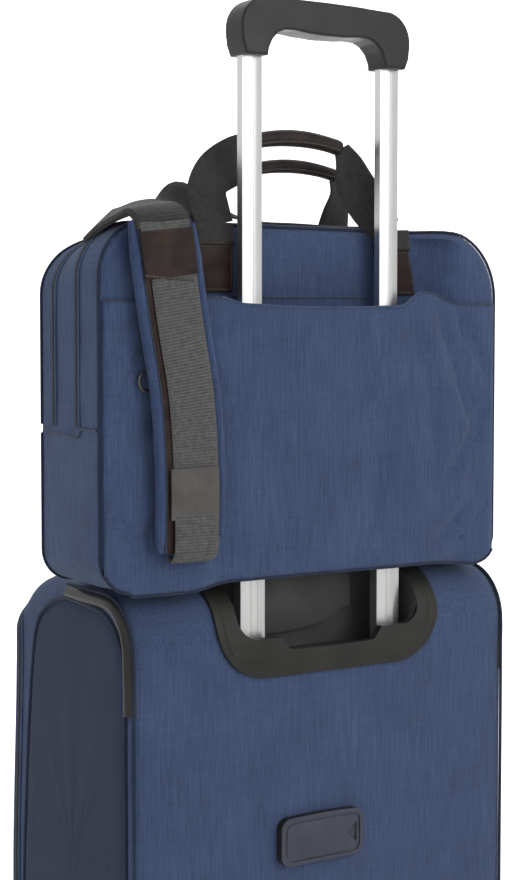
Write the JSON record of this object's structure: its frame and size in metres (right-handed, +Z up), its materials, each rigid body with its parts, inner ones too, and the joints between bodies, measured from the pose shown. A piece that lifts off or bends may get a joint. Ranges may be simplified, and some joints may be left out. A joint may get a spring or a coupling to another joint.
{
  "type": "rolling laptop case",
  "caption": "Upright two-wheeled soft travel case with a telescopic handle, carrying a laptop bag whose back sleeve slips over the handle's poles.",
  "frame": {"origin": "floor plane, under the middle of the whole object's width and depth", "axes": "+Z up; +Y from the handle side towards the opening lid; +X to the right when one stands behind the handle, looking along +Y"},
  "size_m": [0.4557, 0.2672, 1.0535],
  "materials": {
    "navy_fabric": "slub-woven navy polyester with fine darker and lighter streaks, matt",
    "piping": "dark navy corded seam piping, matt",
    "black_plastic": "moulded black plastic with a fine grain",
    "satin_grip": "smooth satin black moulded grip",
    "pole_metal": "bright anodised drawn aluminium with long grooves",
    "steel": "dull nickel-plated steel",
    "rubber": "black wheel rubber",
    "brown_leather": "dark brown smooth leather",
    "grey_webbing": "dark grey ribbed webbing",
    "lining": "plain dark lining",
    "tag_card": "plain pale card"
  },
  "bodies": {
    "case": {"case_shell": "navy_fabric", "handle_cup": "black_plastic", "outer_tube_left": "pole_metal", "outer_tube_right": "pole_metal", "tube_base_bracket": "black_plastic", "tube_cover_panel": "lining", "wheel_housing_left": "black_plastic", "wheel_housing_right": "black_plastic", "front_foot_left": "black_plastic", "front_foot_right": "black_plastic", "axle_left": "steel", "axle_right": "steel", "corner_guard_left": "black_plastic", "corner_guard_right": "black_plastic", "side_piping_left": "piping", "side_piping_right": "piping", "id_tag_frame": "black_plastic", "top_carry_handle": "grey_webbing", "side_carry_handle": "grey_webbing"},
    "lid": {"case_lid": "navy_fabric", "lid_pocket": "navy_fabric"},
    "tag_insert": {"id_tag_insert": "tag_card"},
    "case_zip": {"case_zip_slider": "steel"},
    "wheel_left": {"wheel_tyre_left": "rubber", "wheel_hub_left": "black_plastic"},
    "wheel_right": {"wheel_tyre_right": "rubber", "wheel_hub_right": "black_plastic"},
    "lower_stage": {"lower_tube_left": "pole_metal", "lower_tube_right": "pole_metal", "lower_collar_left": "black_plastic", "lower_collar_right": "black_plastic"},
    "upper_stage": {"upper_tube_left": "pole_metal", "upper_tube_right": "pole_metal", "telescopic_grip": "satin_grip", "button_spring": "steel"},
    "button": {"release_button": "black_plastic", "release_rod_left": "steel", "release_rod_right": "steel"},
    "bag": {"bag_body": "navy_fabric", "sleeve_panel": "navy_fabric", "laptop_divider": "lining", "near_tab_left": "brown_leather", "near_tab_right": "brown_leather", "strap_top_fold": "grey_webbing", "strap_run_right": "grey_webbing"},
    "flap": {"bag_front_flap": "navy_fabric"},
    "near_handle": {"near_web_left": "grey_webbing", "near_web_right": "grey_webbing", "near_grip": "brown_leather"},
    "far_handle": {"far_web_left": "grey_webbing", "far_web_right": "grey_webbing", "far_grip": "brown_leather"},
    "shoulder_pad": {"strap_pad": "navy_fabric", "strap_web": "grey_webbing", "strap_retainer_top": "brown_leather", "strap_retainer_bottom": "brown_leather", "strap_buckle": "steel"},
    "rear_zip": {"rear_zip_slider": "steel"},
    "front_zip": {"front_zip_slider": "steel"},
    "pocket_zip": {"pocket_zip_slider": "steel"}
  },
  "joints": [
    {"name": "lid_hinge", "type": "hinge", "parent": "case", "child": "lid", "pos_m": [0.2, 0.0983, 0.3], "axis": [0, 0, -1], "range_deg": [0, 120]},
    {"name": "tag_insert_slide", "type": "slide", "parent": "case", "child": "tag_insert", "axis": [1, 0, 0], "range_m": [0, 0.075]},
    {"name": "case_zip_slide", "type": "slide", "parent": "case", "child": "case_zip", "axis": [0, 0, 1], "range_m": [-0.03, 0.29]},
    {"name": "wheel_left_spin", "type": "hinge", "parent": "case", "child": "wheel_left", "pos_m": [-0.164, -0.0937, 0.027], "axis": [1, 0, 0], "continuous": true},
    {"name": "wheel_right_spin", "type": "hinge", "parent": "case", "child": "wheel_right", "pos_m": [0.164, -0.0937, 0.027], "axis": [1, 0, 0], "continuous": true},
    {"name": "lower_stage_slide", "type": "slide", "parent": "case", "child": "lower_stage", "axis": [0, 0, 1], "range_m": [-0.25, 0]},
    {"name": "upper_stage_slide", "type": "slide", "parent": "lower_stage", "child": "upper_stage", "axis": [0, 0, 1], "range_m": [-0.243, 0]},
    {"name": "button_press", "type": "slide", "parent": "upper_stage", "child": "button", "axis": [0, 0, -1], "range_m": [0, 0.003], "stiffness_N_per_m": 1500, "springref_m": -0.003, "deforming": ["button_spring"]},
    {"name": "bag_lift", "type": "slide", "parent": "case", "child": "bag", "axis": [0, 0, 1], "range_m": [0, 0.53]},
    {"name": "flap_hinge", "type": "hinge", "parent": "bag", "child": "flap", "pos_m": [0, -0.0007, 0.685], "axis": [-1, 0, 0], "range_deg": [0, 80]},
    {"name": "near_handle_swing", "type": "hinge", "parent": "bag", "child": "near_handle", "pos_m": [0, -0.0809, 0.86], "axis": [-1, 0, 0], "range_deg": [-3, 12], "stiffness_Nm_per_rad": 0.6},
    {"name": "far_handle_swing", "type": "hinge", "parent": "flap", "child": "far_handle", "pos_m": [0, -0.0007, 0.86], "axis": [-1, 0, 0], "range_deg": [0, 90]},
    {"name": "shoulder_pad_swing", "type": "hinge", "parent": "bag", "child": "shoulder_pad", "pos_m": [-0.176, -0.1242, 0.85], "axis": [-1, 0, 0], "range_deg": [0, 45]},
    {"name": "rear_zip_slide", "type": "slide", "parent": "bag", "child": "rear_zip", "axis": [0, 0, 1], "range_m": [-0.06, 0.06]},
    {"name": "front_zip_slide", "type": "slide", "parent": "bag", "child": "front_zip", "axis": [0, 0, 1], "range_m": [-0.095, 0.02]},
    {"name": "pocket_zip_slide", "type": "slide", "parent": "flap", "child": "pocket_zip", "axis": [1, 0, 0], "range_m": [0, 0.36]}
  ]
}
